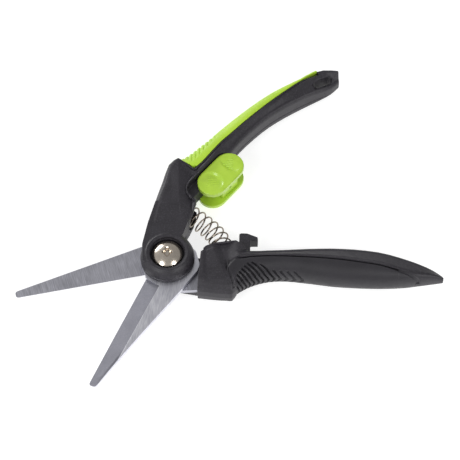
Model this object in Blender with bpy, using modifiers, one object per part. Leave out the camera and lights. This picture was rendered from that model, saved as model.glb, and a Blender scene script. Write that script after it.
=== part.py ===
"""Grass shears: two crossed levers on a pivot bolt, a return spring and a sliding lock.

The tool lies on its back. The origin is on the pivot axis at the table, +Z is the pivot axis,
+X runs along the lower handle and +Y towards the upper handle. Lengths in this file are
millimetres, measured from the plane between the blades. The upper lever is drawn as it lies with
the shears shut, and its empty then opens it about the pivot.
"""

import math

import bmesh
import bpy
from mathutils import Matrix, Vector

MM = 0.001
MID_Z = 8.5  # height of the plane between the blades above the table
OPEN_DEG = 50.5  # angle between the shut frame and the open rest pose

GAP = 0.3  # clearance between neighbouring pieces
BLADE_T = 2.25  # blade thickness
BLADE_IN = GAP / 2  # inner face of each blade
BLADE_OUT = BLADE_IN + BLADE_T
ARM_IN = BLADE_OUT + GAP  # plastic face that lies on a blade
HALF_T = 8.5  # half the thickness of the handles

BOSS_R = 12.4
REAR_BOSS_R = 11.6
RING_TOP = 8.8
BOSS_RIM_R = 7.8  # pocket for the bolt head or the nut
POCKET_Z = 5.0
WASHER_R = 6.6
WASHER_T = 0.7
HEAD_SEAT = POCKET_Z + GAP + WASHER_T + GAP  # underside of the bolt head, and of the nut's
HEAD_R = 6.9
HEAD_RIM = 0.6
HEAD_TOP = 9.7
DRIVE_R = 2.6
DRIVE_DEPTH = 1.9
SHANK_END = -5.5
BARREL_R = 3.9  # barrel of the sleeve nut, on which both blades turn
THREAD_R = 2.4
BORE_R = BARREL_R + GAP

GRIP_T = 2.0  # soft grip skin
OVER = 0.02  # one cutter's face stands this far past the face that another one leaves

RAIL_HALF = 3.6  # half thickness of the web that the lock rides on
RAIL_Y = 11.8
PLATE_IN = RAIL_HALF + GAP
PLATE_OUT = 6.5
REAR_PLATE_OUT = 5.9
LOCK_TRAVEL = 5.0
LOCK_LEFT = (43.3, 9.25)  # centres of the lock plates' round ends
LOCK_RIGHT = (55.4, 9.25)
LOCK_R = 7.1
PEG_R = 1.5
PEG_X = 48.8  # peg that joins the two plates through a slot in the web
PEG_Y = 14.4
SLOT_X = 42.0  # end of that slot nearest the pivot
HOOK_HALF = 3.2

SPRING_R = 4.6
WIRE_R = 0.38
SPRING_TURNS = 8
POCKET_R = 5.7
POCKET_X = 25.4
POCKET_FLOOR = 12.0


# ---------------------------------------------------------------- scene helpers


def clear_scene():
    for obj in list(bpy.data.objects):
        bpy.data.objects.remove(obj)
    for col in list(bpy.data.collections):
        bpy.data.collections.remove(col)


def new_collection(name):
    col = bpy.data.collections.new(name)
    bpy.context.scene.collection.children.link(col)
    return col


def material(name, colour, roughness, metallic=0.0):
    mat = bpy.data.materials.new(name)
    mat.use_nodes = True
    shader = mat.node_tree.nodes["Principled BSDF"]
    shader.inputs["Base Color"].default_value = (*colour, 1.0)
    shader.inputs["Roughness"].default_value = roughness
    shader.inputs["Metallic"].default_value = metallic
    return mat


def link(obj, col):
    col.objects.link(obj)
    return obj


def cutter(obj):
    link(obj, CUTTERS)
    obj.hide_render = True
    obj.display_type = "WIRE"
    return obj


def finish(obj, name, mat, parent, sharp_deg=35):
    """Names the piece, gives it its material and parent, and shades its round faces smooth."""
    obj.name = name
    obj.data.name = name
    obj.data.materials.clear()
    obj.data.materials.append(mat)
    obj.data.shade_smooth()
    obj.data.set_sharp_from_angle(angle=math.radians(sharp_deg))
    link(obj, PARTS)
    obj.parent = parent
    return obj


def mesh_object(name, bm):
    bmesh.ops.recalc_face_normals(bm, faces=bm.faces)
    mesh = bpy.data.meshes.new(name)
    bm.to_mesh(mesh)
    bm.free()
    return bpy.data.objects.new(name, mesh)


def baked(obj):
    """The object with its curve or modifiers turned into one welded mesh."""
    holder = bpy.data.collections.new("holder")
    bpy.context.scene.collection.children.link(holder)
    holder.objects.link(obj)
    bpy.context.view_layer.update()
    deps = bpy.context.evaluated_depsgraph_get()
    mesh = bpy.data.meshes.new_from_object(obj.evaluated_get(deps))
    matrix = obj.matrix_world.copy()
    bpy.data.objects.remove(obj)
    bpy.data.collections.remove(holder)
    bm = bmesh.new()
    bm.from_mesh(mesh)
    bmesh.ops.remove_doubles(bm, verts=bm.verts, dist=1e-6)
    bpy.data.meshes.remove(mesh)
    result = mesh_object("shape", bm)
    result.matrix_world = matrix
    return result


def boolean(obj, tool, operation):
    cutter(tool)
    mod = obj.modifiers.new(operation.lower(), "BOOLEAN")
    mod.operation = operation
    mod.solver = "EXACT"
    mod.object = tool


def combine(base, joined=(), removed=()):
    """Joins and cuts solids that share the frame of base, into one mesh."""
    for operation, tools in (("UNION", joined), ("DIFFERENCE", removed)):
        for tool in tools:
            boolean(base, tool, operation)
            base = baked(base)
    return base


def bevelled(obj, width, segments=2, angle_deg=35):
    mod = obj.modifiers.new("bevel", "BEVEL")
    mod.width = width * MM
    mod.segments = segments
    mod.limit_method = "ANGLE"
    mod.angle_limit = math.radians(angle_deg)
    return baked(obj)


# ---------------------------------------------------------------- outlines and solids


def polar(radius, deg, centre=(0.0, 0.0)):
    angle = math.radians(deg)
    return (centre[0] + radius * math.cos(angle), centre[1] + radius * math.sin(angle))


def arc(centre, radius, start_deg, end_deg, steps):
    turn = (end_deg - start_deg) / steps
    return [polar(radius, start_deg + i * turn, centre) for i in range(steps + 1)]


def rounded(corners, steps=4):
    """Closed outline through (x, y, radius) corners, each corner turned by an arc."""
    points = []
    count = len(corners)
    for i, (x, y, radius) in enumerate(corners):
        here = Vector((x, y))
        if radius == 0:
            points.append((x, y))
            continue
        back = (Vector(corners[i - 1][:2]) - here).normalized()
        ahead = (Vector(corners[(i + 1) % count][:2]) - here).normalized()
        half = back.angle(ahead) / 2
        bisector = (back + ahead).normalized()
        centre = here + bisector * (radius / math.sin(half))
        first = here + back * (radius / math.tan(half)) - centre
        last = here + ahead * (radius / math.tan(half)) - centre
        start = math.atan2(first.y, first.x)
        sweep = math.remainder(math.atan2(last.y, last.x) - start, math.tau)
        for k in range(steps + 1):
            points.append(polar(radius, math.degrees(start + sweep * k / steps), centre))
    return points


def curve_object(points, closed, dimensions):
    data = bpy.data.curves.new("outline", "CURVE")
    data.dimensions = dimensions
    spline = data.splines.new("POLY")
    spline.points.add(len(points) - 1)
    for slot, point in zip(spline.points, points):
        z = point[2] if len(point) == 3 else 0.0
        slot.co = (point[0] * MM, point[1] * MM, z * MM, 1.0)
    spline.use_cyclic_u = closed
    return bpy.data.objects.new("outline", data)


def plate(outline, low, high, edge=0.0):
    """Flat outline given thickness between two heights, its rims rounded by edge."""
    obj = curve_object(outline, True, "2D")
    obj.data.fill_mode = "BOTH"
    obj.data.extrude = (high - low) / 2 * MM
    obj.location.z = (low + high) / 2 * MM
    solid = baked(obj)
    solid.data.transform(solid.matrix_world)
    solid.matrix_world = Matrix()
    return bevelled(solid, edge) if edge else solid


def disc(radius, low, high, centre=(0.0, 0.0), steps=48):
    return plate(arc(centre, radius, 0, 360 - 360 / steps, steps - 1), low, high)


def turned(profile, steps=48):
    """Solid of revolution about the pivot axis from a profile of (radius, height) points."""
    wire = bpy.data.meshes.new("profile")
    verts = [(r * MM, 0.0, z * MM) for r, z in profile]
    wire.from_pydata(verts, [(i, i + 1) for i in range(len(verts) - 1)], [])
    solid = bpy.data.objects.new("turned", wire)
    mod = solid.modifiers.new("screw", "SCREW")
    mod.axis = "Z"
    mod.steps = steps
    mod.render_steps = steps
    mod.use_merge_vertices = True
    mod.merge_threshold = 1e-6
    return baked(solid)


def loft(rings):
    """Skin over rings of equal length, closed by a cap at each end."""
    bm = bmesh.new()
    rows = [[bm.verts.new(Vector(point) * MM) for point in ring] for ring in rings]
    count = len(rows[0])
    for near, far in zip(rows, rows[1:]):
        for i in range(count):
            j = (i + 1) % count
            bm.faces.new((near[i], near[j], far[j], far[i]))
    bm.faces.new(rows[0])
    bm.faces.new(rows[-1])
    return mesh_object("loft", bm)


# ---------------------------------------------------------------- handle sections


def catmull(a, b, c, d, t):
    """Smooth value between b and c."""
    return 0.5 * (
        2 * b + (c - a) * t + (2 * a - 5 * b + 4 * c - d) * t * t + (3 * b - a - 3 * c + d) * t**3
    )


def at(stations, s):
    """Handle section values at a fractional station number."""
    last = len(stations) - 1
    i = min(int(s), last - 1)
    picks = [stations[min(max(k, 0), last)] for k in (i - 1, i, i + 1, i + 2)]
    return [catmull(*values, s - i) for values in zip(*picks)]


CORNER_R = 2.0
CORNER_STEPS = 3
ARC_STEPS = 12


def super_arc(semi_n, semi_z, power, steps):
    """Outer half of a superellipse, from its front end round to its back end."""
    points = []
    for k in range(steps + 1):
        angle = math.pi / 2 - math.pi * k / steps
        cos, sin = abs(math.cos(angle)), math.sin(angle)
        side = math.copysign(abs(sin) ** (2 / power), sin)
        points.append((semi_n * cos ** (2 / power), semi_z * side))
    return points


def section_frame(values):
    """Turns a handle section's own (across, height) points into the lever's frame."""
    inner = Vector(values[0:2])
    across = Vector(values[2:4]) - inner

    def place(points):
        unit = across.normalized()
        return [(inner.x + unit.x * n, inner.y + unit.y * n, z) for n, z in points]

    return across.length, place


def body_section(values, inset):
    """Ring of a handle body; past the grip's edge it is let in by the grip's thickness."""
    width, place = section_frame(values)
    inner_half, half, power, edge = values[4:8]
    edge = min(edge, width - 0.6 - inset)
    corner = min(CORNER_R, inner_half / 2, edge / 2)
    ring = []
    for k in range(CORNER_STEPS + 1):
        angle = math.pi / 2 * k / CORNER_STEPS
        height = inner_half - corner + corner * math.sin(angle)
        ring.append((corner - corner * math.cos(angle), height))
    ring.append((edge - 0.2 * (edge - corner), half))
    ring.append((edge, half))
    outer = super_arc(width - edge - inset, half - inset, power, ARC_STEPS)
    ring += [(edge + n + 0.01, z) for n, z in outer]
    front = len(ring) - len(outer)
    ring += [(n, -z) for n, z in reversed(ring[:front])]
    return place(ring)


def grip_section(values, bump):
    """Ring of a soft grip: a skin of even thickness round the outer side of the handle."""
    width, place = section_frame(values)
    half, power, edge = values[5:8]
    edge = edge + GAP
    reach = max(width - edge - bump, GRIP_T + 0.5)
    outer = super_arc(reach, half, power, ARC_STEPS)
    inner = super_arc(max(reach - GRIP_T + bump, 0.4), half - GRIP_T, power, ARC_STEPS)
    ring = [(edge + n, z) for n, z in outer] + [(edge + n, z) for n, z in reversed(inner)]
    return place(ring)


def span(first, last, steps):
    return [first + (last - first) * k / steps for k in range(steps + 1)]


# ---------------------------------------------------------------- upper lever (shut frame)

# Each station of a handle: inner x, y; outer x, y; half thickness at the inner side and at the
# ridge beside the grip; power of the outer curve; distance of the ridge from the inner side.
UPPER_NECK = [
    (16.5, 2.9, 7.0, 17.6, 8.2, 8.5, 2.6, 14.0),
    (24.0, 4.9, 16.6, 23.0, 8.2, 8.5, 2.6, 16.0),
    (31.0, 8.6, 28.6, 28.2, 8.2, 8.5, 2.6, 16.2),
    (37.0, 11.8, 37.4, 31.8, 8.2, 8.5, 3.0, 17.2),
    (42.3, 11.8, 42.7, 31.0, 8.2, 8.5, 3.0, 16.8),
]
UPPER = [
    (42.6, 11.8, 43.1, 31.4, 8.2, 8.5, 2.3, 8.2),
    (48.0, 11.9, 48.6, 29.6, 7.4, 8.5, 2.2, 7.6),
    (56.0, 12.6, 56.0, 28.6, 6.4, 8.5, 2.1, 7.2),
    (63.0, 13.7, 63.0, 27.6, 5.9, 8.5, 2.1, 6.2),
    (70.0, 14.3, 70.5, 27.0, 5.8, 8.5, 2.1, 5.0),
    (80.0, 13.9, 81.0, 25.8, 5.8, 8.4, 2.1, 4.7),
    (90.0, 12.7, 92.0, 24.1, 5.8, 8.3, 2.1, 4.8),
    (100.0, 10.2, 103.0, 21.6, 5.8, 8.0, 2.1, 5.9),
    (110.0, 6.8, 113.5, 17.6, 5.7, 7.5, 2.1, 7.6),
    (118.0, 3.4, 121.5, 13.6, 5.0, 7.0, 2.1, 9.2),
    (124.0, 0.8, 128.0, 9.9, 3.8, 6.6, 2.4, 9.2),
    (129.8, 0.2, 133.2, 3.8, 3.2, 6.4, 3.2, 3.6),
]
UPPER_GRIP_END = 9.6

LOWER_NECK = [
    (15.3, 1.6, 13.8, -17.6, 8.3, 8.5, 2.8, 8.0),
    (18.5, 3.5, 19.0, -18.4, 8.3, 8.5, 2.8, 9.0),
    (22.5, 4.6, 23.5, -19.0, 8.3, 8.5, 2.8, 9.5),
    (26.0, 4.8, 27.0, -19.2, 8.2, 8.5, 2.8, 8.6),
    (28.6, 4.3, 29.6, -19.3, 8.2, 8.5, 2.8, 7.4),
    (30.6, 3.4, 31.6, -16.6, 8.0, 8.5, 2.4, 6.4),
]
LOWER = [
    (31.0, 3.2, 32.2, -15.8, 8.0, 8.5, 2.3, 6.0),
    (38.0, 2.3, 38.6, -12.0, 7.2, 8.5, 2.2, 4.0),
    (46.0, 2.9, 46.2, -9.7, 6.6, 8.5, 2.1, 4.2),
    (54.0, 3.3, 54.3, -9.2, 6.4, 8.5, 2.1, 4.7),
    (64.7, 3.9, 64.7, -10.5, 6.3, 8.5, 2.1, 5.8),
    (76.0, 4.1, 76.0, -12.2, 6.2, 8.5, 2.1, 6.9),
    (87.0, 3.6, 87.0, -13.0, 6.0, 8.2, 2.1, 7.8),
    (98.0, 2.3, 98.0, -13.3, 5.4, 7.5, 2.1, 8.2),
    (108.0, -0.4, 108.0, -12.7, 4.6, 6.4, 2.1, 8.3),
    (116.0, -3.3, 116.5, -11.6, 3.8, 5.0, 2.1, 6.0),
    (122.0, -6.3, 122.5, -11.0, 2.8, 3.6, 2.2, 3.2),
    (125.7, -9.0, 125.9, -10.7, 1.6, 2.2, 2.2, 1.1),
]
LOWER_GRIP_END = 8.8

STEP = 0.02  # fraction of a station over which a body steps up past the end of its grip


def body_loft(neck, handle, grip_end, per_station=2):
    """Handle body: full size outside the grip, let in by the grip's thickness under it."""
    last = len(handle) - 1.0
    rings = []
    for stations, first, end, let_in in (
        (neck, 0.0, len(neck) - 1.0, 0.0),
        (handle, 0.0, grip_end, GRIP_T + GAP),
        (handle, grip_end + STEP, last, 0.0),
    ):
        steps = max(2, round((end - first) * per_station))
        rings += [body_section(at(stations, s), let_in) for s in span(first, end, steps)]
    return loft(rings)


def grip_loft(stations, last, ribs, rib_end, depth):
    """Soft grip skin, with a run of cross ribs near its front end."""
    pad = 0.06
    rib_stations = span(pad, rib_end, ribs * 4)
    plain = span(rib_end, last - pad, round((last - rib_end) * 2))[1:]
    rings = []
    for k, s in enumerate(rib_stations):
        dip = depth * (1 - math.cos(math.tau * k / 4)) / 2
        rings.append(grip_section(at(stations, s), dip))
    rings += [grip_section(at(stations, s), 0.0) for s in plain]
    return loft(rings)


def boss(sign):
    """Rounded boss round the pivot, in front of the blades (+1) or behind them (-1)."""
    face = RING_TOP if sign > 0 else MID_Z
    radius = BOSS_R if sign > 0 else REAR_BOSS_R
    start = HALF_T - 8.0 if sign > 0 else ARM_IN  # the front one is cut back to the blade later
    profile = [
        (0.0, start),
        (radius, start),
        (radius, 4.6),
        (radius - 0.5, 6.4),
        (radius - 1.5, 7.7),
        (radius - 2.8, face),
        (0.0, face),
    ]
    return turned([(r, sign * z) for r, z in profile])


def pivot_bore(sign):
    """Stepped cutter for the barrel's bore and the pocket of the bolt head or the nut."""
    far = 12.0
    profile = [
        (0.0, -1.0),
        (BORE_R, -1.0),
        (BORE_R, POCKET_Z),
        (BOSS_RIM_R, POCKET_Z),
        (BOSS_RIM_R, far),
        (0.0, far),
    ]
    return turned([(r, sign * z) for r, z in profile])


def block_cutter(x0, x1, y0, y1, z0, z1):
    return plate([(x0, y0), (x1, y0), (x1, y1), (x0, y1)], z0, z1)


FRONT_BLADE_TANG = [(8.0, 17.2, 1), (21.5, 22.5, 2), (25.5, 19.5, 2), (13.0, 11.0, 1)]
REAR_BLADE_TANG = [(13.2, -2.0, 0), (27.5, -3.5, 2), (27.5, -13.0, 2), (13.2, -14.9, 0)]


def front_blade_outline():
    cutting = [(-69.5, -14.0, 1.2), (-42.3, -6.5, 0), (-13.6, 1.3, 2)]
    back = [(-10.5, 6.6, 3)]
    heel = [(12.4, 4.0, 2), (11.4, -7.3, 3), (7.2, -13.2, 2), (4.0, -14.5, 4)]
    spine = [(-9.5, -15.3, 0), (-32.8, -15.9, 0), (-49.3, -16.5, 0), (-68.8, -17.4, 1.2)]
    return rounded(cutting + back + FRONT_BLADE_TANG + heel + spine)


def rear_blade_outline():
    back = [(-69.1, -15.9, 1.3), (-49.7, -7.9, 0), (-30.0, 0.4, 0)]
    disc_top = [(-12.2, 7.9, 4), (-6.0, 11.6, 4), (4.0, 12.6, 5), (11.8, 5.5, 4)]
    edge = [(3.0, -15.5, 6), (-9.5, -6.9, 2), (-42.7, -13.7, 0), (-68.4, -19.0, 1.3)]
    return rounded(back + disc_top + REAR_BLADE_TANG + edge)


def grown(outline, by):
    """The same closed outline moved outwards all round."""
    area = sum(p[0] * q[1] - q[0] * p[1] for p, q in zip(outline, outline[1:] + outline[:1]))
    out = math.copysign(by, area)
    points = []
    for i, point in enumerate(outline):
        here = Vector(point)
        into = (here - Vector(outline[i - 1])).normalized()
        away = (Vector(outline[(i + 1) % len(outline)]) - here).normalized()
        mean = (into + away).normalized()
        shift = Vector((mean.y, -mean.x)) * out / max(0.5, mean.dot(into))
        points.append(tuple(here + shift))
    return points


def neck_arm():
    """Front plate of the upper lever between its boss and the full-thickness neck."""
    outline = rounded(
        [
            (-10.9, 5.6, 1),
            (-3.8, 11.9, 6),
            (6.5, 17.4, 0),
            (18.0, 22.6, 1),
            (23.0, 13.0, 1),
            (19.0, 3.6, 1),
            (12.3, 1.0, 0),
            (0.0, 0.0, 0),
        ]
    )
    return plate(outline, 0.0, HALF_T - 0.2, edge=0.8)


def upper_handle_body():
    neck = body_loft(UPPER_NECK, UPPER, UPPER_GRIP_END)
    tang = FRONT_BLADE_TANG + [(12.4, 4.0, 0), (0.0, 0.0, 0), (0.0, 13.0, 0)]
    recess = [(63.1, 4.0)] + arc(LOCK_RIGHT, LOCK_R + 0.6, 0, 90, 8)
    recess += arc((36.0, LOCK_RIGHT[1] + 2.1), 5.6, 90, 180, 6) + [(30.4, 4.0)]
    slot_half = PEG_R + GAP
    slot_x = (SLOT_X, SLOT_X + LOCK_TRAVEL + 2 * slot_half)
    removed = [
        disc(BOSS_R + 1.2, -HALF_T - 1, ARM_IN),
        block_cutter(-20.0, 8.0, -20.0, 40.0, -HALF_T - 1, ARM_IN + OVER),
        plate(grown(rounded(tang), GAP), BLADE_IN - GAP, ARM_IN - 0.05),
        plate(recess, RAIL_HALF, HALF_T + 1),
        plate(recess, -HALF_T - 1, -RAIL_HALF),
        block_cutter(28.0, 63.0, 2.0, RAIL_Y, -RAIL_HALF - OVER, RAIL_HALF + OVER),
        block_cutter(*slot_x, PEG_Y - slot_half, PEG_Y + slot_half, -HALF_T, HALF_T),
        hang_slot(),
        spring_pocket(),
        pivot_bore(+1),
    ]
    return combine(neck, [neck_arm(), boss(+1)], removed)


def spring_pocket():
    """Round pocket in the neck's inner side that holds the end of the spring."""
    solid = disc(POCKET_R, 0.0, POCKET_FLOOR, steps=32)
    turn = Matrix.Rotation(math.radians(-90), 4, "X")
    solid.data.transform(Matrix.Translation((POCKET_X * MM, 0.0, 0.0)) @ turn)
    return solid


def hang_slot():
    start, end, radius = Vector((119.8, 6.6)), Vector((126.2, 4.2)), 1.7
    lean = math.degrees(math.atan2(end.y - start.y, end.x - start.x))
    outline = arc(start, radius, lean + 90, lean + 270, 8)
    outline += arc(end, radius, lean - 90, lean + 90, 8)
    return plate(outline, -HALF_T, HALF_T)


def lower_arm():
    """Back plate of the lower lever between its boss and the block."""
    outline = rounded(
        [
            (0.0, 0.0, 0),
            (4.0, 10.8, 3),
            (12.6, 3.6, 3),
            (19.0, 2.4, 1),
            (22.0, -8.0, 1),
            (19.0, -14.6, 1),
            (6.0, -12.2, 4),
            (0.0, -11.4, 1),
        ]
    )
    return plate(outline, -MID_Z + 0.2, -ARM_IN, edge=0.8)


def hook():
    """Hook on the block's top, under which the lock's nose slides."""
    outline = rounded(
        [
            (27.0, -1.0, 0),
            (27.0, 4.4, 0),
            (31.4, 6.4, 1),
            (32.8, 8.6, 1),
            (32.9, 12.9, 0),
            (33.7, 13.3, 0),
            (36.8, 13.2, 0.5),
            (41.4, 11.2, 0),
            (41.6, 9.4, 0),
            (37.9, 9.4, 0.5),
            (37.9, -1.0, 0),
        ],
        steps=2,
    )
    return plate(outline, -HOOK_HALF, HOOK_HALF, edge=0.3)


def spring_peg():
    """Peg on the block's top that centres the spring."""
    solid = disc(3.0, 0.0, 6.0, steps=24)
    turn = Matrix.Rotation(math.radians(-90), 4, "X")
    solid.data.transform(Matrix.Translation((24.6 * MM, 2.0 * MM, 0.0)) @ turn)
    return solid


def lower_handle_body():
    block = body_loft(LOWER_NECK, LOWER, LOWER_GRIP_END)
    tang = rounded([(5.0, -1.5, 0)] + REAR_BLADE_TANG + [(5.0, -15.6, 0)])
    removed = [
        plate(grown(tang, GAP), -ARM_IN + OVER, BLADE_IN),
        pivot_bore(-1),
    ]
    return combine(block, [lower_arm(), boss(-1), hook(), spring_peg()], removed)


# ---------------------------------------------------------------- pivot, spring and lock


def grind_cutter(edge_line, back_line, edge_land, sign):
    """Wedge that grinds a blade's outer face down to its cutting edge."""
    rings = []
    for edge, back in zip(edge_line, back_line):
        edge, back = Vector(edge), Vector(back)
        fall = (BLADE_T - edge_land) / (edge - back).length
        out = (edge - back).normalized()
        over, under = back - out * 2, edge + out * 4
        rings.append(
            [
                (under.x, under.y, sign * (BLADE_IN + edge_land - 4 * fall)),
                (under.x, under.y, sign * (BLADE_OUT + 4)),
                (over.x, over.y, sign * (BLADE_OUT + 4)),
                (over.x, over.y, sign * (BLADE_OUT + 2 * fall)),
            ]
        )
    return loft(rings)


def blade(outline, sign, edge_line, back_line):
    """Flat blade with a ground band along its edge and a bore for the sleeve nut's barrel."""
    low, high = sorted((sign * BLADE_IN, sign * BLADE_OUT))
    solid = plate(outline, low, high)
    bore = disc(BORE_R, low - 1, high + 1)
    return combine(solid, removed=[bore, grind_cutter(edge_line, back_line, 0.3, sign)])


def pivot_bolt():
    """Domed bolt: a hollow for the driver in its head, and a shank that ends inside the nut."""
    rim_z = HEAD_SEAT + HEAD_RIM
    dome = []
    for deg in range(0, 60, 12):
        angle = math.radians(deg)
        rise = (HEAD_TOP - rim_z) * math.sin(angle)
        dome.append((HEAD_R * math.cos(angle), rim_z + rise))
    profile = [(0.0, SHANK_END), (THREAD_R, SHANK_END), (THREAD_R, HEAD_SEAT), (HEAD_R, HEAD_SEAT)]
    profile += dome
    profile += [(DRIVE_R + 0.3, HEAD_TOP - 0.2), (DRIVE_R, HEAD_TOP - DRIVE_DEPTH)]
    profile += [(0.0, HEAD_TOP - DRIVE_DEPTH)]
    return turned(profile)


def pivot_nut():
    """Sleeve nut: a flat head in the rear boss and a barrel through both blades."""
    barrel_top = POCKET_Z - 0.4
    bore_r = THREAD_R + GAP
    bore_end = SHANK_END - 0.4
    chamfer = 0.3
    profile = [
        (0.0, -MID_Z),
        (HEAD_R - chamfer, -MID_Z),
        (HEAD_R, -MID_Z + chamfer),
        (HEAD_R, -HEAD_SEAT),
        (BARREL_R, -HEAD_SEAT),
        (BARREL_R, barrel_top),
        (bore_r, barrel_top),
        (bore_r, bore_end),
        (0.0, bore_end),
    ]
    return turned(profile)


def washer(low, high):
    """Flat ring round the nut's barrel."""
    ring = [(BORE_R, high), (WASHER_R, high), (WASHER_R, low), (BORE_R, low), (BORE_R, high)]
    return turned(ring)


def spring_path(t):
    """Point and direction on the spring's bent axis, t from the block to the pocket."""
    seat, above_seat = Vector((24.9, 6.3)), Vector((25.2, 13.4))
    mouth, floor = Vector((16.0, 20.0)), Vector((8.2, 26.4))
    s = 1 - t
    point = seat * s**3 + above_seat * 3 * s * s * t + mouth * 3 * s * t * t + floor * t**3
    slope = (above_seat - seat) * s * s + (mouth - above_seat) * 2 * s * t + (floor - mouth) * t * t
    return point, slope.normalized()


def return_spring():
    per_turn = 16
    points = []
    for k in range(SPRING_TURNS * per_turn + 1):
        centre, along = spring_path(k / (SPRING_TURNS * per_turn))
        side = Vector((along.y, -along.x))
        angle = math.tau * k / per_turn
        flat = centre + side * SPRING_R * math.cos(angle)
        points.append((flat.x, flat.y, SPRING_R * math.sin(angle)))
    obj = curve_object(points, False, "3D")
    obj.data.bevel_depth = WIRE_R * MM
    obj.data.bevel_resolution = 2
    obj.data.use_fill_caps = True
    return baked(obj)


def lock_outline():
    return arc(LOCK_LEFT, LOCK_R, 90, 270, 12) + arc(LOCK_RIGHT, LOCK_R, -90, 90, 12)


def lock_front():
    """Front plate of the lock with the block that carries its nose, and the joining peg."""
    face = plate(lock_outline(), PLATE_IN, PLATE_OUT, edge=0.5)
    nose = rounded(
        [
            (44.1, 3.6, 0.4),
            (55.1, 3.5, 0.4),
            (55.1, RAIL_Y - GAP, 0.4),
            (47.8, RAIL_Y - GAP, 0.4),
            (47.8, 6.7, 0.4),
            (44.1, 6.7, 0.4),
        ],
        steps=2,
    )
    block = plate(nose, -RAIL_HALF, PLATE_IN + 0.5)
    peg = disc(PEG_R, -PLATE_IN - 1.2, PLATE_IN + 0.5, centre=(PEG_X, PEG_Y), steps=24)
    hole = disc(0.7, 0.0, 3.0, steps=16)
    turn = Matrix.Rotation(math.radians(-90), 4, "X")
    hole.data.transform(Matrix.Translation((49.6 * MM, 2.5 * MM, 0.0)) @ turn)
    return combine(face, [block, peg], [hole])


def lock_rear():
    """Back plate of the lock, with the socket for the front plate's peg."""
    face = plate(lock_outline(), -REAR_PLATE_OUT, -PLATE_IN, edge=0.5)
    socket = disc(PEG_R + GAP, -PLATE_IN - 1.5, -PLATE_IN + 1, centre=(PEG_X, PEG_Y), steps=24)
    return combine(face, removed=[socket])


# ---------------------------------------------------------------- assembly

clear_scene()
PARTS = new_collection("grass_shears")
CUTTERS = new_collection("cutters")

plastic = material("black_plastic", (0.045, 0.043, 0.047), 0.55)
soft_black = material("black_soft_grip", (0.04, 0.04, 0.042), 0.7)
soft_green = material("green_soft_grip", (0.36, 0.68, 0.07), 0.55)
lock_green = material("green_plastic", (0.38, 0.71, 0.08), 0.35)
steel = material("blade_steel", (0.55, 0.55, 0.57), 0.3, 1.0)
nickel = material("nickel", (0.62, 0.58, 0.52), 0.2, 1.0)
spring_steel = material("spring_steel", (0.45, 0.41, 0.37), 0.3, 1.0)

root = link(bpy.data.objects.new("lower_lever_frame", None), PARTS)
root.location.z = MID_Z * MM
upper = link(bpy.data.objects.new("upper_lever_frame", None), PARTS)
upper.parent = root
upper.rotation_euler.z = math.radians(OPEN_DEG)

finish(lower_handle_body(), "lower_handle_body", plastic, root)
lower_ribs = grip_loft(LOWER, LOWER_GRIP_END, 9, 3.4, 0.6)
finish(lower_ribs, "lower_soft_grip", soft_black, root)
rear_grind = ([(-72.0, -20.0), (-9.0, -6.6)], [(-72.0, -13.2), (-8.0, 0.2)])
finish(blade(rear_blade_outline(), -1, *rear_grind), "rear_blade", steel, root)
finish(pivot_nut(), "pivot_nut", nickel, root)
finish(washer(-POCKET_Z - GAP - WASHER_T, -POCKET_Z - GAP), "nut_washer", nickel, root)
finish(pivot_bolt(), "pivot_bolt", nickel, root)
finish(washer(POCKET_Z + GAP, POCKET_Z + GAP + WASHER_T), "head_washer", nickel, root)
finish(return_spring(), "return_spring", spring_steel, root)

finish(upper_handle_body(), "upper_handle_body", plastic, upper)
upper_ribs = grip_loft(UPPER, UPPER_GRIP_END, 10, 2.7, 0.6)
finish(upper_ribs, "upper_soft_grip", soft_green, upper)
front_grind = ([(-72.0, -14.9), (-14.0, 1.2)], [(-72.0, -21.7), (-13.1, -6.2)])
finish(blade(front_blade_outline(), +1, *front_grind), "front_blade", steel, upper)
finish(lock_front(), "lock_front", lock_green, upper)
finish(lock_rear(), "lock_rear", lock_green, upper)
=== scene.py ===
import math

import bmesh
import bpy
import numpy as np
from mathutils import Matrix, Vector


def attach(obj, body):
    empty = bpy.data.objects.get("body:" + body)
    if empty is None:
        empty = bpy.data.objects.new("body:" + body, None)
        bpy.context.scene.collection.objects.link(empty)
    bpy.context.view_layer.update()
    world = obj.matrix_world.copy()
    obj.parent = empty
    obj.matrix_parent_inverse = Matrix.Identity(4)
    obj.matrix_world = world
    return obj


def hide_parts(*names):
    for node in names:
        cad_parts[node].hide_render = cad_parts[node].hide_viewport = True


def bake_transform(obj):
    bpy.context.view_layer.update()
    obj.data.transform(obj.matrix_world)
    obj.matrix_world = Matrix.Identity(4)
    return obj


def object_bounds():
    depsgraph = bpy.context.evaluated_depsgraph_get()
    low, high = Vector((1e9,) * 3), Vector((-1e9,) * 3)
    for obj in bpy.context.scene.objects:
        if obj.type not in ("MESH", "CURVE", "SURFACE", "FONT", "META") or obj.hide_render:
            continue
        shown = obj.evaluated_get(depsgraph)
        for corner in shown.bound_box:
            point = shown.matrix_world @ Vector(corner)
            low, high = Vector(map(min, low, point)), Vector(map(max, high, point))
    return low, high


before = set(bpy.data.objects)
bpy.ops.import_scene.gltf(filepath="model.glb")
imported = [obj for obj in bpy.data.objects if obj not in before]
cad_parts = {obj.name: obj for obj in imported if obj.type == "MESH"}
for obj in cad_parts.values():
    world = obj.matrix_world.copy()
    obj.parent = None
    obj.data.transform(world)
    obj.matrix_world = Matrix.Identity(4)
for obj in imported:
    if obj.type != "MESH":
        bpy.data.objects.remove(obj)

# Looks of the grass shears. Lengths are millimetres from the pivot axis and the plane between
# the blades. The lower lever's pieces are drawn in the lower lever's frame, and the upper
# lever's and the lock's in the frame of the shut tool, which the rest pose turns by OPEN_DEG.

CAD_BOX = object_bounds()

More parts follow.
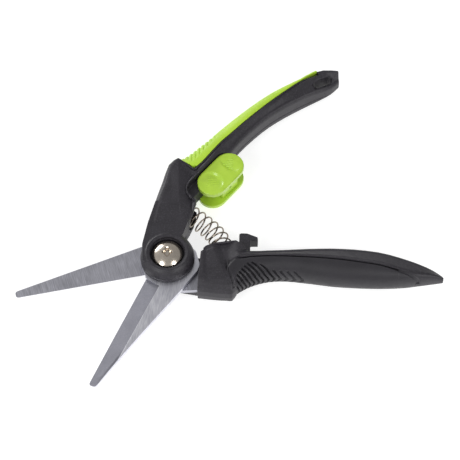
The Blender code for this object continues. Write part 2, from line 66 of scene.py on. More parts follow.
MM = 0.001
MID_Z = 8.5
OPEN_DEG = 50.5
LOWER_FRAME = Matrix.Translation((0.0, 0.0, MID_Z * MM))
UPPER_FRAME = LOWER_FRAME @ Matrix.Rotation(math.radians(OPEN_DEG), 4, "Z")

GAP = 0.3
GRIP_T = 2.0
BOSS_RIM_R = 7.8
HEAD_R = 6.9
HEAD_TOP = 9.55
HEAD_BOTTOM = 6.3
LOCK_TOP = 6.5

VOXEL = 0.2  # size of the even mesh that the plastic bodies are made of
FINE = 2


# ---------------------------------------------------------------- meshes


def new_object(name, mesh):
    obj = bpy.data.objects.new(name, mesh)
    bpy.context.scene.collection.objects.link(obj)
    return obj


def to_mesh(name, bm):
    bmesh.ops.recalc_face_normals(bm, faces=bm.faces)
    mesh = bpy.data.meshes.new(name)
    bm.to_mesh(mesh)
    bm.free()
    return mesh


def evaluated(obj):
    """The object's mesh with its modifiers applied; the object itself is removed."""
    bpy.context.view_layer.update()
    deps = bpy.context.evaluated_depsgraph_get()
    mesh = bpy.data.meshes.new_from_object(obj.evaluated_get(deps))
    bpy.data.objects.remove(obj)
    return mesh


def cad_mesh(node, lever):
    """A welded copy of a CAD node's mesh, in a lever's frame."""
    bm = bmesh.new()
    bm.from_mesh(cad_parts[node].data)
    bmesh.ops.remove_doubles(bm, verts=bm.verts, dist=1e-6)
    bm.transform(lever.inverted())
    return to_mesh(node + "_copy", bm)


def lofted(rings):
    """Closed skin over rings of equal length."""
    bm = bmesh.new()
    rows = [[bm.verts.new(Vector(point) * MM) for point in ring] for ring in rings]
    count = len(rows[0])
    for near, far in zip(rows, rows[1:]):
        for i in range(count):
            j = (i + 1) % count
            bm.faces.new((near[i], near[j], far[j], far[i]))
    bm.faces.new(rows[0])
    bm.faces.new(rows[-1])
    return to_mesh("loft", bm)


def turned(profile, steps=96):
    """Solid of revolution about the pivot axis; the profile starts and ends on the axis."""
    rings = []
    for r, z in profile[1:-1]:
        turns = [math.tau * k / steps for k in range(steps)]
        rings.append([(r * math.cos(a), r * math.sin(a), z) for a in turns])
    return lofted(rings)


def even_mesh(meshes, voxel):
    """One evenly meshed solid over the outside of overlapping closed ones, its edges softened."""
    bm = bmesh.new()
    for mesh in meshes:
        bm.from_mesh(mesh)
    obj = new_object("even", to_mesh("even", bm))
    mod = obj.modifiers.new("remesh", "REMESH")
    mod.mode = "VOXEL"
    mod.voxel_size = voxel * MM
    soften = obj.modifiers.new("soften", "SMOOTH")
    soften.factor = 0.5
    soften.iterations = 2
    return evaluated(obj)


def sculpt(mesh, shape):
    """Moves each point in by the depth that shape gives for it. Points are millimetres."""
    count = len(mesh.vertices)
    co = np.zeros(count * 3, np.float32)
    mesh.vertices.foreach_get("co", co)
    points = co.reshape(-1, 3).astype(float) / MM
    normals = np.zeros(count * 3, np.float32)
    mesh.vertex_normals.foreach_get("vector", normals)
    normals = normals.reshape(-1, 3).astype(float)
    points -= normals * shape(points, normals)[:, None]
    mesh.vertices.foreach_set("co", (points * MM).astype(np.float32).ravel())
    mesh.update()


def place(name, mesh, lever, body, nodes, materials, sharp_deg=40):
    """A finished piece in the row frame that rides on a CAD body and stands for CAD nodes."""
    mesh.name = name
    mesh.transform(lever)
    mesh.materials.clear()
    for mat in materials:
        mesh.materials.append(mat)
    mesh.shade_smooth()
    if sharp_deg:
        mesh.set_sharp_from_angle(angle=math.radians(sharp_deg))
    obj = new_object(name, mesh)
    if body:
        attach(obj, body)
    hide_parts(*nodes)
    return obj


# ---------------------------------------------------------------- shape fields


def smooth(x, low, high):
    t = np.clip((x - low) / (high - low), 0.0, 1.0)
    return t * t * (3.0 - 2.0 * t)


def to_line(points, line):
    """Distance to a polyline, side of it (+ on its left) and how far along it, 0 to 1."""
    line = np.array(line, float)
    xy = points[:, :2]
    best = np.full(len(xy), 1e9)
    side = np.zeros(len(xy))
    along = np.zeros(len(xy))
    lengths = np.linalg.norm(np.diff(line, axis=0), axis=1)
    starts = np.concatenate([[0.0], np.cumsum(lengths)])
    for i, (a, b) in enumerate(zip(line, line[1:])):
        d = b - a
        t = np.clip(((xy - a) @ d) / (d @ d), 0.0, 1.0)
        gap = xy - a - t[:, None] * d
        dist = np.linalg.norm(gap, axis=1)
        closer = dist < best
        cross = d[0] * (xy[:, 1] - a[1]) - d[1] * (xy[:, 0] - a[0])
        best = np.where(closer, dist, best)
        side = np.where(closer, np.sign(cross), side)
        along = np.where(closer, (starts[i] + t * lengths[i]) / starts[-1], along)
    return best, side, along


def in_patch(points, *corners):
    """1 inside the convex patch with these corners, 0 outside."""
    middle = np.mean(corners, axis=0)
    inside = np.ones(len(points))
    for a, b in zip(corners, corners[1:] + corners[:1]):
        ahead = np.subtract(b, a) / np.linalg.norm(np.subtract(b, a))
        out = np.array([ahead[1], -ahead[0]])
        if out @ (middle - a) > 0:
            out = -out
        inside *= smooth(-((points[:, :2] - a) @ out), 0.0, 0.35)
    return inside


def facing_front(points, normals):
    """1 on the broad front face of a handle, fading to 0 on its sides and its back."""
    return smooth(normals[:, 2], 0.3, 0.8) * smooth(points[:, 2], 4.0, 6.0)


def run_between(x, rise_from, rise_to, fall_from, fall_to):
    """Fades in along x, then out again."""
    return smooth(x, rise_from, rise_to) * (1.0 - smooth(x, fall_from, fall_to))


def groove_wave(phase, pitch, low, high):
    """Row of equal grooves, 1 in each groove's middle and 0 on the land between them."""
    return smooth(0.5 + 0.5 * np.cos(math.tau * phase / pitch), low, high)


# ---------------------------------------------------------------- handle sections

# Each station of a handle: inner x, y; outer x, y; half thickness at the inner side and at the
# ridge beside the grip; power of the outer curve; distance of the ridge from the inner side.
UPPER = [
    (42.6, 11.8, 43.1, 31.4, 8.2, 8.5, 2.3, 8.2),
    (48.0, 11.9, 48.6, 29.6, 7.4, 8.5, 2.2, 7.6),
    (56.0, 12.6, 56.0, 28.6, 6.4, 8.5, 2.1, 7.2),
    (63.0, 13.7, 63.0, 27.6, 5.9, 8.5, 2.1, 6.2),
    (70.0, 14.3, 70.5, 27.0, 5.8, 8.5, 2.1, 5.0),
    (80.0, 13.9, 81.0, 25.8, 5.8, 8.4, 2.1, 4.7),
    (90.0, 12.7, 92.0, 24.1, 5.8, 8.3, 2.1, 4.8),
    (100.0, 10.2, 103.0, 21.6, 5.8, 8.0, 2.1, 5.9),
    (110.0, 6.8, 113.5, 17.6, 5.7, 7.5, 2.1, 7.6),
    (118.0, 3.4, 121.5, 13.6, 5.0, 7.0, 2.1, 9.2),
    (124.0, 0.8, 128.0, 9.9, 3.8, 6.6, 2.4, 9.2),
    (129.8, 0.2, 133.2, 3.8, 3.2, 6.4, 3.2, 3.6),
]
UPPER_GRIP_END = 9.6
LOWER_NECK = [
    (26.0, 4.8, 27.0, -19.2, 8.2, 8.5, 2.8, 8.6),
    (28.6, 4.3, 29.6, -18.3, 8.2, 8.5, 2.6, 7.4),
]
LOWER = [
    (31.0, 3.2, 32.2, -15.8, 8.0, 8.5, 2.3, 6.0),
    (38.0, 2.3, 38.6, -12.0, 7.2, 8.5, 2.2, 4.0),
    (46.0, 2.9, 46.2, -9.7, 6.6, 8.5, 2.1, 4.2),
    (54.0, 3.3, 54.3, -9.2, 6.4, 8.5, 2.1, 4.7),
    (64.7, 3.9, 64.7, -10.5, 6.3, 8.5, 2.1, 5.8),
    (76.0, 4.1, 76.0, -12.2, 6.2, 8.5, 2.1, 6.9),
    (87.0, 3.6, 87.0, -13.0, 6.0, 8.2, 2.1, 7.8),
    (98.0, 2.3, 98.0, -13.3, 5.4, 7.5, 2.1, 8.2),
    (108.0, -0.4, 108.0, -12.7, 4.6, 6.4, 2.1, 8.3),
    (116.0, -3.3, 116.5, -11.6, 3.8, 5.0, 2.1, 6.0),
    (122.0, -6.3, 122.5, -11.0, 2.8, 3.6, 2.2, 3.2),
    (125.7, -9.0, 125.9, -10.7, 1.6, 2.2, 2.2, 1.1),
]
LOWER_GRIP_END = 8.8


def catmull(a, b, c, d, t):
    return 0.5 * (
        2 * b + (c - a) * t + (2 * a - 5 * b + 4 * c - d) * t * t + (3 * b - a - 3 * c + d) * t**3
    )


def at(stations, s):
    last = len(stations) - 1
    i = min(max(int(s), 0), last - 1)
    picks = [stations[min(max(k, 0), last)] for k in (i - 1, i, i + 1, i + 2)]
    return [catmull(*values, s - i) for values in zip(*picks)]


def super_arc(semi_n, semi_z, power, steps):
    points = []
    for k in range(steps + 1):
        angle = math.pi / 2 - math.pi * k / steps
        cos, sin = abs(math.cos(angle)), math.sin(angle)
        side = math.copysign(abs(sin) ** (2 / power), sin)
        points.append((semi_n * cos ** (2 / power), semi_z * side))
    return points


FLUSH_Y = 0.5  # a handle's inner side is lower than this only where the lower grip ends flush
FLUSH = -0.05
GRIP_OVERLAP = 0.03  # part of a station by which a grip runs in under the end of its handle


def grip_ring(values, inset, steps):
    """One section of a soft grip, its outside let in by inset."""
    start = Vector(values[0:2])
    across = Vector(values[2:4]) - start
    unit = across.normalized()
    half, power, edge = values[5:8]
    seam = GAP if start.y > FLUSH_Y else FLUSH
    edge += seam + inset * 0.5
    reach = max(across.length - edge - inset, GRIP_T + 0.4)
    outer = super_arc(reach, half - inset, power, steps)
    inner = super_arc(max(reach - GRIP_T, 0.3), half - GRIP_T, power, steps // 2)
    ring = [(edge + n, z) for n, z in outer] + [(edge + n, z) for n, z in reversed(inner)]
    return [(start.x + unit.x * n, start.y + unit.y * n, z) for n, z in ring]


def grip_mesh(stations, first, last, lip=0.3):
    """Soft grip skin with rounded ends."""
    rings = []
    count = int((last - first) * 26 * FINE)
    turn = [0.0, 0.12, 0.3, 0.55, 0.8, 1.0]
    ends = [lip * (1 - math.sqrt(1 - (1 - t) ** 2)) for t in turn]
    pad = 0.006 * lip / 0.1
    for k, inset in zip(range(len(turn)), ends):
        rings.append(grip_ring(at(stations, first + pad * turn[k]), inset, 44 * FINE))
    for k in range(1, count):
        s = first + pad + (last - first - 2 * pad) * k / count
        rings.append(grip_ring(at(stations, s), 0.0, 44 * FINE))
    for k, inset in reversed(list(zip(range(len(turn)), ends))):
        rings.append(grip_ring(at(stations, last - pad * turn[k]), inset, 44 * FINE))
    return lofted(rings)


def ridge_line(stations):
    """The line on the front of a handle where its grip begins."""
    points = []
    for k in range(4 * len(stations) - 3):
        values = at(stations, k / 4)
        start = Vector(values[0:2])
        unit = (Vector(values[2:4]) - start).normalized()
        points.append(tuple(start + unit * values[7]))
    return points


# ---------------------------------------------------------------- materials


class Nodes:
    """Builds a material's node tree a step at a time."""

    def __init__(self, name, space=None):
        self.mat = bpy.data.materials.new(name)
        self.mat.use_nodes = True
        self.tree = self.mat.node_tree
        self.shader = self.tree.nodes["Principled BSDF"]
        self.plain = self.tree.nodes.new("ShaderNodeTexCoord").outputs["Object"]
        self.place = self.mapped(self.plain, space) if space else self.plain

    def mapped(self, coord, space):
        """Coordinates turned by degrees and stretched; space is (turn, scale)."""
        turn, scale = space
        node = self.tree.nodes.new("ShaderNodeMapping")
        node.vector_type = "TEXTURE"
        node.inputs["Rotation"].default_value = (0.0, 0.0, math.radians(turn))
        node.inputs["Scale"].default_value = scale
        self.tree.links.new(coord, node.inputs["Vector"])
        return node.outputs["Vector"]

    def noise(self, size_mm, detail=2.0, rough=0.5, coord=None):
        node = self.tree.nodes.new("ShaderNodeTexNoise")
        node.inputs["Scale"].default_value = 1.0 / (size_mm * MM)
        node.inputs["Detail"].default_value = detail
        node.inputs["Roughness"].default_value = rough
        self.tree.links.new(coord or self.place, node.inputs["Vector"])
        return node.outputs["Fac"]

    def ramp(self, value, low, high, out_low, out_high):
        node = self.tree.nodes.new("ShaderNodeMapRange")
        for name, number in zip(
            ("From Min", "From Max", "To Min", "To Max"), (low, high, out_low, out_high)
        ):
            node.inputs[name].default_value = number
        self.tree.links.new(value, node.inputs["Value"])
        return node.outputs["Result"]

    def mix(self, factor, first, second):
        node = self.tree.nodes.new("ShaderNodeMix")
        node.data_type = "RGBA"
        self.tree.links.new(factor, node.inputs["Factor"])
        for socket, colour in ((node.inputs["A"], first), (node.inputs["B"], second)):
            if isinstance(colour, tuple):
                socket.default_value = (*colour, 1.0)
            else:
                self.tree.links.new(colour, socket)
        return node.outputs["Result"]

    def edges(self, low, high):
        """1 on outer edges, 0 elsewhere."""
        node = self.tree.nodes.new("ShaderNodeNewGeometry")
        return self.ramp(node.outputs["Pointiness"], low, high, 0.0, 1.0)

    def colour(self, value):
        self.tree.links.new(value, self.shader.inputs["Base Color"])

    def roughness(self, value):
        self.tree.links.new(value, self.shader.inputs["Roughness"])

    def bump(self, height, distance_mm, strength=1.0):
        node = self.tree.nodes.new("ShaderNodeBump")
        node.inputs["Strength"].default_value = strength
        node.inputs["Distance"].default_value = distance_mm * MM
        self.tree.links.new(height, node.inputs["Height"])
        self.tree.links.new(node.outputs["Normal"], self.shader.inputs["Normal"])

    def set(self, **values):
        for name, value in values.items():
            self.shader.inputs[name.replace("_", " ")].default_value = value
        return self.mat


def moulded_plastic(name, dark, light, grain_mm=0.6, rough=(0.38, 0.58), relief_mm=0.08):
    """Spark-textured moulded plastic: fine grain, and edges rubbed a little paler."""
    m = Nodes(name)
    grain = m.noise(grain_mm, 3.0, 0.6)
    cloud = m.noise(9.0, 2.0)
    tone = m.mix(m.ramp(cloud, 0.35, 0.65, 0.0, 1.0), dark, light)
    speck = m.mix(m.ramp(grain, 0.5, 0.72, 0.0, 0.8), tone, tuple(2.1 * c for c in light))
    m.colour(m.mix(m.edges(0.52, 0.6), speck, tuple(1.35 * c for c in light)))
    m.roughness(m.ramp(grain, 0.3, 0.7, *rough))
    m.bump(grain, relief_mm, 0.6)
    return m.set(Specular_IOR_Level=0.5)


def soft_rubber(name, dark, light, relief_mm=0.03):
    """Overmoulded soft grip: matt, with a faint even grain and handling marks."""
    m = Nodes(name)
    grain = m.noise(0.5, 3.0, 0.6)
    cloud = m.noise(12.0, 3.0)
    tone = m.mix(m.ramp(cloud, 0.35, 0.65, 0.0, 1.0), dark, light)
    m.colour(m.mix(m.ramp(grain, 0.4, 0.7, 0.0, 0.35), tone, tuple(1.4 * c for c in light)))
    m.roughness(m.ramp(m.noise(2.5, 3.0), 0.3, 0.7, 0.42, 0.56))
    m.bump(grain, relief_mm, 0.5)
    return m.set(Sheen_Weight=0.05, Sheen_Roughness=0.5)


def glossy_plastic(name, dark, light):
    """Injection-moulded lock: smoother, with a very fine orange peel."""
    m = Nodes(name)
    cloud = m.noise(6.0, 2.0)
    m.colour(m.mix(m.ramp(cloud, 0.35, 0.65, 0.0, 1.0), dark, light))
    m.roughness(m.ramp(m.noise(0.8, 3.0), 0.3, 0.7, 0.3, 0.42))
    m.bump(m.noise(0.5, 2.0), 0.02, 0.4)
    return m.set(Coat_Weight=0.6, Coat_Roughness=0.25)


def brushed_steel(name, turn_deg, dark, light, rough, line_mm=0.16, length_mm=6.0, relief_mm=0.01):
    """Ground steel: fine lines in one direction, with broad faint patches of polish."""
    m = Nodes(name, (turn_deg, (length_mm / line_mm, 1.0, 1.0)))
    lines = m.noise(line_mm, 3.0, 0.7)
    patches = m.noise(7.0, 2.0, coord=m.plain)
    tone = m.mix(m.ramp(lines, 0.32, 0.68, 0.0, 1.0), dark, light)
    m.colour(m.mix(m.ramp(patches, 0.4, 0.7, 0.0, 0.35), tone, tuple(0.8 * c for c in dark)))
    m.roughness(m.ramp(lines, 0.3, 0.7, *rough))
    m.bump(lines, relief_mm, 0.5)
    return m.set(Metallic=1.0)


def plated_steel(name, colour, rough=(0.1, 0.2)):
    """Nickel plate: bright and smooth, with light smudges."""
    m = Nodes(name)
    smudge = m.noise(1.6, 3.0, 0.6)
    m.colour(m.mix(m.ramp(smudge, 0.3, 0.7, 0.0, 1.0), tuple(0.85 * c for c in colour), colour))
    m.roughness(m.ramp(m.noise(0.7, 4.0), 0.3, 0.7, *rough))
    m.bump(m.noise(0.4, 2.0), 0.006, 0.3)
    return m.set(Metallic=1.0)


PLASTIC = moulded_plastic("charcoal_plastic", (0.020, 0.018, 0.023), (0.028, 0.0255, 0.032))
BLACK_GRIP = soft_rubber("black_rubber", (0.017, 0.0155, 0.020), (0.024, 0.022, 0.028))
GREEN_GRIP = soft_rubber("green_rubber", (0.44, 0.70, 0.035), (0.50, 0.77, 0.045))
GREEN_LOCK = glossy_plastic("green_lock_plastic", (0.47, 0.73, 0.045), (0.53, 0.80, 0.06))
# One blade steel in three colours: the front flat is painted lighter as painted light, and the rear
# flat and the ground band darker as painted shade; the brushing lines and roughness are the steel's
# own.
LIT_FLAT_STEEL = brushed_steel(
    "front_flat_steel_painted_light", 82.0, (0.66, 0.66, 0.74), (0.95, 0.95, 1.0), (0.32, 0.46), 0.45, 5.0
)
SHADED_GRIND_STEEL = brushed_steel(
    "ground_steel_painted_shade", 150.0, (0.25, 0.25, 0.285), (0.31, 0.31, 0.35), (0.34, 0.42), 0.25, 8.0
)
SHADED_REAR_STEEL = brushed_steel(
    "rear_flat_steel_painted_shade", 108.0, (0.40, 0.40, 0.445), (0.66, 0.66, 0.73), (0.34, 0.46), 0.4, 8.0
)
NICKEL = plated_steel("nickel_plate", (0.66, 0.59, 0.51), (0.16, 0.26))
ZINC = plated_steel("zinc_plate", (0.55, 0.54, 0.52), (0.2, 0.32))
SPRING_WIRE = plated_steel("spring_wire", (0.34, 0.29, 0.24), (0.12, 0.25))


# ---------------------------------------------------------------- upper lever

SHOULDER = [(41.6, 31.4), (39.2, 26.9), (35.4, 23.4), (31.0, 19.6), (25.0, 14.0)]
SHOULDER_FALL = 0.36  # how far the neck falls for each millimetre past its shoulder
HANG_SLOT = [(117.9, 8.2), (117.2, 5.6), (125.6, 1.9), (127.3, 5.4)]
PARTING_Z = -1.5


def upper_body_shape(points, normals):
    """Depth of the upper body's surface below its plain shape."""
    x = points[:, 0]
    front = facing_front(points, normals)

    gap, side, _ = to_line(points, SHOULDER)
    dish = np.clip(side * gap, 0.0, 6.5) * run_between(x, 22.0, 30.0, 39.0, 46.0)
    crown = np.clip(-side * gap, 0.0, 3.5) * run_between(x, 18.0, 28.0, 34.0, 40.0)
    depth = SHOULDER_FALL * dish * front + 0.1 * crown * front

    gap, side, _ = to_line(points, ridge_line(UPPER))
    band = 1.0 - smooth(-side * gap, 0.4, 1.9)
    depth += 0.7 * band * front * run_between(x, 42.0, 44.0, 121.0, 125.0)

    depth += 4.6 * in_patch(points, *HANG_SLOT) * smooth(normals[:, 2], 0.6, 0.9)
    parting = 1.0 - smooth(np.abs(points[:, 2] - PARTING_Z), 0.12, 0.3)
    inner_side = smooth(-normals[:, 1], 0.6, 0.8)
    depth += 0.3 * parting * run_between(x, 60.0, 68.0, 118.0, 124.0) * inner_side

    radius = np.hypot(x, points[:, 1])
    lip = smooth(radius, BOSS_RIM_R + 2.0, BOSS_RIM_R - 0.2)
    depth += 0.4 * lip * (points[:, 2] > 7.0)
    return depth


def upper_body():
    mesh = even_mesh([cad_mesh("upper_handle_body", UPPER_FRAME)], VOXEL)
    sculpt(mesh, upper_body_shape)
    return place(
        "upper_body_shell", mesh, UPPER_FRAME, "upper_lever", ["upper_handle_body"],
        [PLASTIC], None,
    )


def upper_grip_shape(points, normals):
    """Short cross slots near the front of the green grip, and its rounded front corner."""
    x, y = points[:, 0], points[:, 1]
    groove = groove_wave(0.64 * x - 0.77 * y - 7.2, 1.85, 0.45, 0.95)
    gap, side, _ = to_line(points, ridge_line(UPPER))
    slots = groove * smooth(side * gap, 3.6, 4.6) * run_between(x, 44.6, 46.0, 62.0, 66.0)
    lobe_x, lobe_y, lobe_r = 47.2, 23.2, 3.7
    past_lobe = smooth(np.hypot(x - lobe_x, (y - lobe_y) * 0.9) - lobe_r, 0.0, 0.35)
    corner = (x < lobe_x) * (y < lobe_y) * past_lobe
    return 0.45 * slots + 1.9 * corner * (points[:, 2] > 0.0)


def keep_in_box(mesh):
    """Brings what would pass the far side of the CAD model's box back to it."""
    lean = math.radians(OPEN_DEG)
    outward = Vector((math.sin(lean), math.cos(lean), 0.0))
    limit = CAD_BOX[1][1] - 0.05 * MM
    for vertex in mesh.vertices:
        vertex.co -= outward * max(vertex.co.dot(outward) - limit, 0.0)


def upper_grip():
    mesh = grip_mesh(UPPER, 0.06, UPPER_GRIP_END + GRIP_OVERLAP)
    sculpt(mesh, upper_grip_shape)
    keep_in_box(mesh)
    return place(
        "upper_grip_skin", mesh, UPPER_FRAME, "upper_lever", ["upper_soft_grip"],
        [GREEN_GRIP], 50,
    )


# ---------------------------------------------------------------- lower lever

CHEVRON = [(45.0, -2.0), (32.3, -2.1), (29.4, -4.5), (27.4, -7.3), (28.5, -10.0), (29.7, -13.5),
           (30.9, -17.0), (30.9, -24.0)]
BLOCK_RIDGE = [(20.6, 4.2), (21.0, 2.5), (22.7, -2.5), (25.4, -9.2), (26.5, -12.5)]
SEAT_WALL = [(16.6, -1.0), (16.4, 2.6), (17.6, 3.9), (21.8, 5.5), (26.8, 6.2), (31.4, 6.7),
             (33.0, 5.6), (34.6, 4.7), (35.8, 2.0)]
SEAT_WALL_Z = (5.45, 8.1)


def lower_body_shape(points, normals):
    """Depth of the lower body's surface below its plain shape."""
    x = points[:, 0]
    front = facing_front(points, normals)

    gap, side, along = to_line(points, BLOCK_RIDGE)
    ends = 1.0 - smooth(along, 0.75, 1.0)
    behind = np.clip(side * gap, 0.0, 3.5) * (1.0 - smooth(x, 27.0, 33.0))
    before = np.clip(-side * gap, 0.0, 6.0) * smooth(x, 16.0, 18.0)
    depth = (0.42 * behind + 0.12 * before) * front * ends

    gap, _, _ = to_line(points, CHEVRON)
    step = 1.0 - smooth(gap, 0.25, 0.75)
    depth += 0.7 * step * (x < 33.5) * (points[:, 1] < -1.2) * front

    gap, _, _ = to_line(points, ridge_line(LOWER))
    groove = 1.0 - smooth(gap, 0.3, 1.3)
    depth += 0.55 * groove * front * run_between(x, 31.0, 36.0, 99.0, 104.0)
    return depth


def seat_wall():
    """The block's front wall, before the foot of the spring and clear of the lock when shut."""
    return lofted([[(x, y, z) for x, y in SEAT_WALL] for z in SEAT_WALL_Z])


def lower_body():
    mesh = even_mesh([cad_mesh("lower_handle_body", LOWER_FRAME), seat_wall()], VOXEL)
    sculpt(mesh, lower_body_shape)
    return place(
        "lower_body_shell", mesh, LOWER_FRAME, "lower_lever", ["lower_handle_body"],
        [PLASTIC], None,
    )


RIB_TOPS = [(29.0, -20.0), (30.0, -14.0), (31.7, -10.6), (33.8, -7.7), (36.8, -4.9), (40.2, -4.6),
            (43.0, -5.8), (46.5, -7.4), (59.5, -8.0), (66.0, -11.5)]
END_GROOVE = [(98.5, -5.9), (102.0, -7.3), (106.0, -8.9), (110.5, -10.4), (114.2, -11.9),
              (115.5, -13.5)]
RIB_PITCH = 1.8
RIB_DEPTH = 1.3


def lower_grip_shape(points, normals):
    """Slanted ribs, the front end's chevron, and the grooves beside the grip and at its end."""
    x, y, z = points.T
    down_side = np.clip(4.0 - np.abs(z), 0.0, None)
    phase = 0.6 * x + 0.8 * y - 0.22 * down_side
    groove = groove_wave(phase - 8.4, RIB_PITCH, 0.5, 0.95)
    gap, side, _ = to_line(points, RIB_TOPS)
    ribs = groove * smooth(-side * gap, 0.0, 0.6) * run_between(phase, 5.5, 7.5, 33.0, 34.0)
    depth = RIB_DEPTH * ribs * (1.0 - 0.35 * smooth(phase, 20.0, 24.0))

    gap, side, _ = to_line(points, CHEVRON)
    ahead = 1.0 - smooth(side * gap, -0.1, 0.45)
    depth += 0.5 * ahead * (1.0 - smooth(x, 30.0, 32.0))

    gap, _, _ = to_line(points, ridge_line(LOWER))
    lip = (1.0 - smooth(gap, 0.3, 1.3)) * smooth(z, 3.0, 4.0)
    depth += 0.6 * lip * run_between(x, 31.0, 34.0, 99.0, 104.0)

    gap, _, _ = to_line(points, END_GROOVE)
    depth += 0.6 * (1.0 - smooth(gap, 0.15, 0.8)) * (z > 0.0)
    return depth


def lower_grip():
    stations = LOWER_NECK + LOWER
    mesh = grip_mesh(stations, 0.3, LOWER_GRIP_END + len(LOWER_NECK) + GRIP_OVERLAP)
    sculpt(mesh, lower_grip_shape)
    return place(
        "lower_grip_skin", mesh, LOWER_FRAME, "lower_lever", ["lower_soft_grip"],
        [BLACK_GRIP], 50,
    )


# ---------------------------------------------------------------- blades


STEEPEST_GRIND = 0.85  # upward part of the normals between which a face is the ground band
FLATTEST_GRIND = 0.995


def blade(name, node, lever, body, flat, ground):
    """The CAD blade with its arrises eased, flat faces and ground band in their own finishes, whose
    steel colours are made lighter or darker as painted light and shade.
    """
    bm = bmesh.new()
    bm.from_mesh(cad_mesh(node, lever))
    bmesh.ops.dissolve_limit(bm, angle_limit=math.radians(0.5), verts=bm.verts, edges=bm.edges)
    obj = new_object(name, to_mesh(name, bm))
    ease = obj.modifiers.new("ease", "BEVEL")
    ease.width = 0.1 * MM
    ease.segments = 2
    ease.limit_method = "ANGLE"
    ease.angle_limit = math.radians(40)
    mesh = evaluated(obj)
    piece = place(name, mesh, lever, body, [node], [flat, ground], 12)
    for face in piece.data.polygons:
        face.material_index = 1 if STEEPEST_GRIND < abs(face.normal.z) < FLATTEST_GRIND else 0
    return piece


# ---------------------------------------------------------------- pivot, spring and lock


DOME_R = 10.3  # radius of the sphere that the head's dome is part of
SHANK_R = 2.4
SHANK_END = -5.5
# Drive recess: size against its plain width, and height, from its floor up through a chamfer.
DRIVE = [(0.8, HEAD_TOP - 2.2), (0.95, HEAD_TOP - 0.7), (1.3, HEAD_TOP - 0.1), (1.9, HEAD_TOP + 2)]


def drive_recess():
    """Four-lobed cutter that turns round towards its mouth."""
    rings = []
    for size, height in DRIVE:
        ring = []
        for k in range(96):
            a = math.tau * k / 96
            r = size * (1.9 + 0.4 * math.cos(4 * a) * (height < HEAD_TOP))
            ring.append((r * math.cos(a), r * math.sin(a), height))
        rings.append(ring)
    return lofted(rings)


def bolt():
    """Domed bolt head with its drive recess, on a plain shank."""
    steps = 24
    innermost = 0.02
    dome = []
    for k in range(steps):
        r = innermost + (HEAD_R - 0.15) * k / (steps - 1)
        dome.append((r, HEAD_TOP - DOME_R + math.sqrt(DOME_R**2 - r**2)))
    profile = [(0.0, HEAD_TOP)] + dome
    profile += [(HEAD_R, HEAD_BOTTOM + 0.35), (HEAD_R - 0.2, HEAD_BOTTOM), (SHANK_R, HEAD_BOTTOM)]
    profile += [(SHANK_R, SHANK_END), (innermost, SHANK_END), (0.0, SHANK_END)]
    head = new_object("head", turned(profile, 128))
    tool = new_object("drive", drive_recess())
    cut = head.modifiers.new("cut", "BOOLEAN")
    cut.operation = "DIFFERENCE"
    cut.solver = "EXACT"
    cut.object = tool
    ease = head.modifiers.new("ease", "BEVEL")
    ease.width = 0.12 * MM
    ease.segments = 2
    ease.limit_method = "ANGLE"
    ease.angle_limit = math.radians(40)
    mesh = evaluated(head)
    bpy.data.objects.remove(tool)
    return place(
        "bolt_head", mesh, LOWER_FRAME, "lower_lever", ["pivot_bolt"], [NICKEL], 30
    )


SPRING_R = 4.6
WIRE_R = 0.38
SPRING_TURNS = 8


def spring_path(t):
    seat, above_seat = Vector((24.9, 6.3)), Vector((25.2, 13.4))
    mouth, floor = Vector((16.0, 20.0)), Vector((8.2, 26.4))
    s = 1 - t
    point = seat * s**3 + above_seat * 3 * s * s * t + mouth * 3 * s * t * t + floor * t**3
    slope = (above_seat - seat) * s * s + (mouth - above_seat) * 2 * s * t + (floor - mouth) * t * t
    return point, slope.normalized()


def spring():
    """Coil spring bent between the block and the pocket in the neck."""
    per_turn = 48
    count = SPRING_TURNS * per_turn
    centres = []
    for k in range(count + 1):
        middle, along = spring_path(k / count)
        side = Vector((along.y, -along.x))
        angle = math.tau * k / per_turn
        flat = middle + side * SPRING_R * math.cos(angle)
        centres.append(Vector((flat.x, flat.y, SPRING_R * math.sin(angle))))
    rings = []
    for k, centre in enumerate(centres):
        ahead = (centres[min(k + 1, count)] - centres[max(k - 1, 0)]).normalized()
        middle, along = spring_path(k / count)
        out = (centre - Vector((middle.x, middle.y, 0.0))).normalized()
        out = (out - ahead * out.dot(ahead)).normalized()
        across = ahead.cross(out)
        turns = [math.tau * i / 12 for i in range(12)]
        rings.append([centre + (out * math.cos(a) + across * math.sin(a)) * WIRE_R for a in turns])
    mesh = lofted(rings)
    piece = place(
        "spring_coil", mesh, LOWER_FRAME, None, ["return_spring"], [SPRING_WIRE], 50
    )
    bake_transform(piece)
    return piece


def scoop(points, centre, radius, sign, reach):
    """Depth of a thumb scoop: a wall at the arc, then a floor that rises away from it."""
    across = points[:, 1] - centre[1]
    bulge = np.sqrt(np.clip(radius**2 - across**2, 0.0, None))
    away = bulge - sign * (points[:, 0] - centre[0])
    taper = np.clip(1.0 - (across / 5.4) ** 2, 0.0, 1.0)
    floor = 1.6 * np.clip(1.0 - away / reach, 0.0, 1.0)
    return smooth(away, 0.0, 2.1) * floor * taper


HATCH_PITCH = 1.1


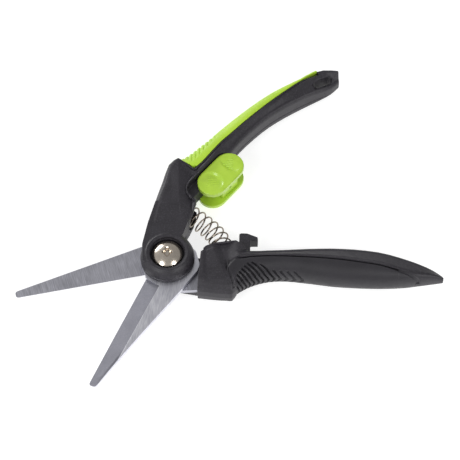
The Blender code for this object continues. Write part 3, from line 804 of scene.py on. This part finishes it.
def lock_front_shape(points, normals):
    """Thumb scoops with hatched floors, and a slightly crowned face."""
    top = (points[:, 2] > LOCK_TOP - 1.2) * smooth(normals[:, 2], 0.4, 0.9)
    rim_x = np.clip(points[:, 0], 43.3, 55.4)
    rim = 7.1 - np.hypot(points[:, 0] - rim_x, points[:, 1] - 9.25)
    low = scoop(points, (41.9, 9.7), 7.0, +1, 7.5)
    high = scoop(points, (64.2, 9.5), 11.4, -1, 6.5)
    lean = math.radians(OPEN_DEG)
    world_y = points[:, 0] * math.sin(lean) + points[:, 1] * math.cos(lean)
    hatch = 0.5 + 0.5 * np.cos(math.tau * world_y / HATCH_PITCH)
    patch = in_patch(points, (38.3, 9.3), (45.4, 13.4), (46.0, 5.4))
    patch += in_patch(points, (60.4, 10.5), (54.2, 5.6), (53.8, 14.0))
    edge = 0.25 * (1.0 - smooth(rim, 0.0, 0.8)) ** 2
    return (low + high + edge + 0.25 * (hatch - 0.5) * patch) * top


def lock_piece(name, node, shape):
    mesh = even_mesh([cad_mesh(node, UPPER_FRAME)], VOXEL * 0.8)
    if shape:
        sculpt(mesh, shape)
    return place(
        name, mesh, UPPER_FRAME, "lock_slider", [node], [GREEN_LOCK], None
    )


# ---------------------------------------------------------------- stage


FLOOR_DROP = 0.0005  # metres, which keeps the sheet clear of the tool's lowest faces


def floor():
    """Large plain sheet of paper, lit a little from within."""
    bm = bmesh.new()
    bmesh.ops.create_grid(bm, x_segments=1, y_segments=1, size=4.0)
    obj = new_object("floor", to_mesh("floor", bm))
    obj.location.z = -FLOOR_DROP
    m = Nodes("floor_paper")
    m.colour(m.mix(m.noise(40.0), (0.48, 0.48, 0.48), (0.5, 0.5, 0.5)))
    m.shader.inputs["Emission Color"].default_value = (1.0, 1.0, 1.0, 1.0)
    m.set(Emission_Strength=0.75, Roughness=0.9, Specular_IOR_Level=0.0)
    obj.data.materials.append(m.mat)


def area_light(name, place_m, size, power, aim=(0.02, 0.02, 0.01)):
    """Rectangular light of that many watts, in metres, turned towards the tool."""
    data = bpy.data.lights.new(name, "AREA")
    data.shape = "RECTANGLE"
    data.size, data.size_y = size
    data.energy = power
    obj = bpy.data.objects.new(name, data)
    bpy.context.scene.collection.objects.link(obj)
    obj.location = place_m
    obj.rotation_euler = (Vector(aim) - Vector(place_m)).to_track_quat("-Z", "Y").to_euler()


def studio():
    """White surroundings, brighter on the left, with two windows in front and one behind."""
    world = bpy.data.worlds.new("studio")
    bpy.context.scene.world = world
    world.use_nodes = True
    tree = world.node_tree
    coord = tree.nodes.new("ShaderNodeTexCoord")
    split = tree.nodes.new("ShaderNodeSeparateXYZ")
    tree.links.new(coord.outputs["Generated"], split.inputs["Vector"])
    fade = tree.nodes.new("ShaderNodeMapRange")
    for name, value in (("From Min", -1.0), ("From Max", 1.0), ("To Min", 0.54), ("To Max", 0.32)):
        fade.inputs[name].default_value = value
    tree.links.new(split.outputs["X"], fade.inputs["Value"])
    tree.links.new(fade.outputs["Result"], tree.nodes["Background"].inputs["Strength"])
    tree.nodes["Background"].inputs["Color"].default_value = (1.0, 1.0, 1.0, 1.0)
    area_light("window_left", (-0.48, -0.55, 0.70), (0.3, 0.3), 2.6)
    area_light("window_right", (0.56, -0.50, 0.66), (0.3, 0.3), 2.6)
    area_light("back_left", (-0.7, 1.0, 0.35), (0.7, 0.4), 6.0)


def camera():
    """Long lens, above and in front of the tool, looking down at it."""
    data = bpy.data.cameras.new("camera")
    data.lens = 117.4
    data.sensor_width = 36.0
    data.clip_start = 0.05
    obj = bpy.data.objects.new("camera", data)
    bpy.context.scene.collection.objects.link(obj)
    obj.location = (0.0286, -0.3430, 0.6074)
    obj.rotation_euler = (math.radians(31.0), 0.0, 0.0)
    bpy.context.scene.camera = obj


upper_body()
upper_grip()
lower_body()
lower_grip()
# The blades' flat and ground steels carry painted light and shade in their colours.
blade("front_blade_ground", "front_blade", UPPER_FRAME, "upper_lever", LIT_FLAT_STEEL, SHADED_GRIND_STEEL)
blade("rear_blade_ground", "rear_blade", LOWER_FRAME, "lower_lever", SHADED_REAR_STEEL, SHADED_GRIND_STEEL)
bolt()
spring()
lock_piece("lock_front_plate", "lock_front", lock_front_shape)
lock_piece("lock_rear_plate", "lock_rear", None)
for node, mat in (("pivot_nut", ZINC), ("head_washer", ZINC), ("nut_washer", ZINC)):
    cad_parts[node].data.materials.clear()
    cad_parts[node].data.materials.append(mat)

floor()
studio()
camera()
bpy.context.scene.view_settings.view_transform = "Standard"
